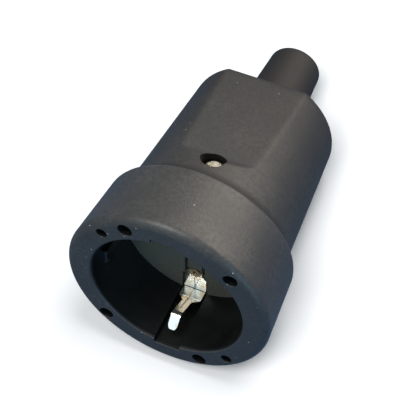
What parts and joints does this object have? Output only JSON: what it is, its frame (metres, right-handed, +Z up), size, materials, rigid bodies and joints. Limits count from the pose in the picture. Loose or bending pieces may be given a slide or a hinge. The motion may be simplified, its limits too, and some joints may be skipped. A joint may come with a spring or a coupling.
{
  "type": "inline socket connector",
  "caption": "Black rubber inline mains socket for a power cord: round plug recess with pin holes and sprung side earth clips, tapered grip with flats and a cord boot.",
  "frame": {"origin": "middle of the box on the surface that the connector lies on", "axes": "+Z up, +Y level towards the cord, +X to the right pin hole seen from the front; the connector's own axis dips 12.4 degrees towards the cord, as it lies on the collar and a flat"},
  "size_m": [0.0534, 0.0908, 0.0548],
  "materials": {
    "black_rubber": "matte",
    "black_moulding": "satin",
    "contact_brass": "satin",
    "spring_steel": "satin",
    "plated_clip": "polished nickel plate",
    "screw_steel": "zinc plate"
  },
  "bodies": {
    "root": {"rubber_housing": "black_rubber", "socket_cup": "black_moulding", "contact_base": "black_moulding", "left_pin_sleeve": "contact_brass", "right_pin_sleeve": "contact_brass", "left_sleeve_spring": "spring_steel", "right_sleeve_spring": "spring_steel", "left_terminal_screw": "screw_steel", "right_terminal_screw": "screw_steel", "earth_post": "contact_brass", "earth_terminal_screw": "screw_steel", "earth_strap": "contact_brass", "upper_earth_clip": "plated_clip", "lower_earth_clip": "plated_clip", "upper_earth_rivet": "plated_clip", "lower_earth_rivet": "plated_clip", "left_base_screw": "screw_steel", "right_base_screw": "screw_steel", "retaining_screw": "screw_steel", "retaining_nut": "contact_brass", "cord_clamp": "black_moulding", "left_clamp_screw": "screw_steel", "right_clamp_screw": "screw_steel"}
  },
  "joints": []
}
